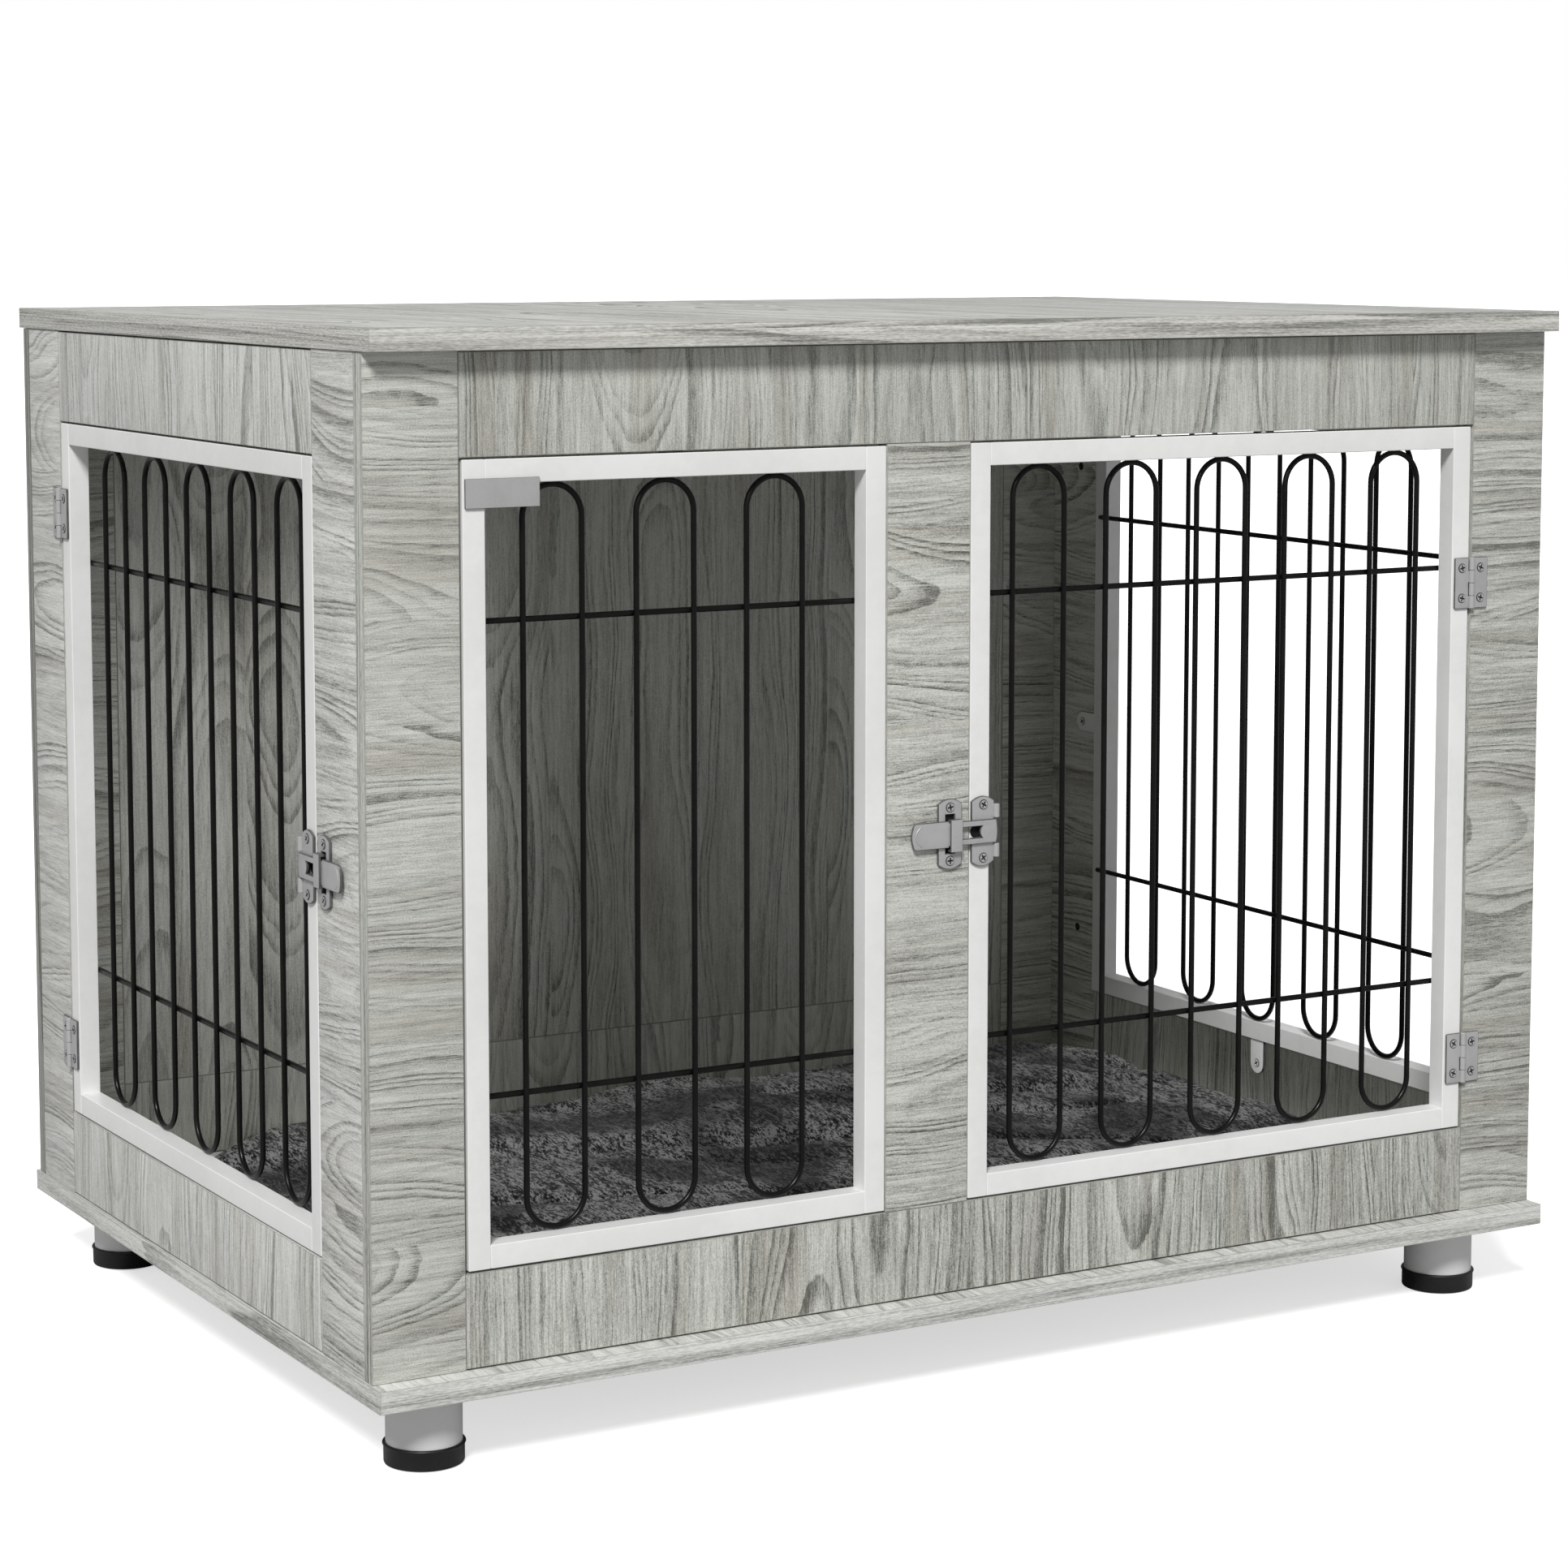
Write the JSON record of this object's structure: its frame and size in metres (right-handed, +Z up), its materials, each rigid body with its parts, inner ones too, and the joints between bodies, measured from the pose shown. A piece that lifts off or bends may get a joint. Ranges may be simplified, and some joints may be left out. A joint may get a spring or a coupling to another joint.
{
  "type": "dog crate end table",
  "caption": "Low cabinet of wood boards on short round feet, closed by wire grilles, with a hinged grille door in front and one in the side, and a cushion inside.",
  "frame": {"origin": "on the ground, in the middle of the space the table takes up", "axes": "+Z up, +X to the right seen from the front, front faces -Y"},
  "size_m": [0.9452, 0.658, 0.731],
  "materials": {
    "wood_laminate": "matt grey wood-grain laminate on board",
    "frame_paint": "smooth white powder coat",
    "wire_paint": "black powder coat",
    "hardware_steel": "satin plated sheet steel",
    "foot_steel": "satin plated tube",
    "foot_plastic": "black moulded plastic",
    "plush": "short dark grey plush"
  },
  "bodies": {
    "cabinet": {"top_board": "wood_laminate", "bottom_board": "wood_laminate", "front_left_stile": "wood_laminate", "front_middle_stile": "wood_laminate", "front_right_stile": "wood_laminate", "front_top_rail": "wood_laminate", "front_bottom_rail": "wood_laminate", "left_front_stile": "wood_laminate", "left_back_stile": "wood_laminate", "left_top_rail": "wood_laminate", "left_bottom_rail": "wood_laminate", "right_front_stile": "wood_laminate", "right_back_stile": "wood_laminate", "right_top_rail": "wood_laminate", "right_bottom_rail": "wood_laminate", "back_left_stile": "wood_laminate", "back_right_stile": "wood_laminate", "back_top_rail": "wood_laminate", "back_bottom_rail": "wood_laminate", "back_panel": "wood_laminate", "front_left_foot_tube": "foot_steel", "front_right_foot_tube": "foot_steel", "back_left_foot_tube": "foot_steel", "back_right_foot_tube": "foot_steel", "front_left_foot_cap": "foot_plastic", "front_right_foot_cap": "foot_plastic", "back_left_foot_cap": "foot_plastic", "back_right_foot_cap": "foot_plastic", "front_fixed_frame": "frame_paint", "right_fixed_frame": "frame_paint", "front_fixed_grille": "wire_paint", "right_fixed_grille": "wire_paint", "front_door_upper_hinge_stile_leaf": "hardware_steel", "front_door_upper_hinge_pin": "hardware_steel", "front_door_lower_hinge_stile_leaf": "hardware_steel", "front_door_lower_hinge_pin": "hardware_steel", "side_door_upper_hinge_stile_leaf": "hardware_steel", "side_door_upper_hinge_pin": "hardware_steel", "side_door_lower_hinge_stile_leaf": "hardware_steel", "side_door_lower_hinge_pin": "hardware_steel", "front_door_latch_stile_plate": "hardware_steel", "side_door_latch_stile_plate": "hardware_steel", "name_plate": "hardware_steel", "cushion": "plush"},
    "front_door": {"front_door_frame": "frame_paint", "front_door_grille": "wire_paint", "front_door_upper_hinge_door_leaf": "hardware_steel", "front_door_lower_hinge_door_leaf": "hardware_steel", "front_door_latch_door_plate": "hardware_steel"},
    "side_door": {"side_door_frame": "frame_paint", "side_door_grille": "wire_paint", "side_door_upper_hinge_door_leaf": "hardware_steel", "side_door_lower_hinge_door_leaf": "hardware_steel", "side_door_latch_door_plate": "hardware_steel"},
    "front_bolt": {"front_door_latch_bolt": "hardware_steel"},
    "side_bolt": {"side_door_latch_bolt": "hardware_steel"}
  },
  "joints": [
    {"name": "front_door_hinge", "type": "hinge", "parent": "cabinet", "child": "front_door", "pos_m": [0.40542, -0.31695, 0.389], "axis": [0, 0, 1], "range_deg": [0, 170]},
    {"name": "side_door_hinge", "type": "hinge", "parent": "cabinet", "child": "side_door", "pos_m": [-0.46882, 0.24205, 0.389], "axis": [0, 0, -1], "range_deg": [0, 170]},
    {"name": "front_bolt_slide", "type": "slide", "parent": "cabinet", "child": "front_bolt", "axis": [-1, 0, 0], "range_m": [0, 0.021]},
    {"name": "side_bolt_slide", "type": "slide", "parent": "cabinet", "child": "side_bolt", "axis": [0, -1, 0], "range_m": [0, 0.021]}
  ]
}
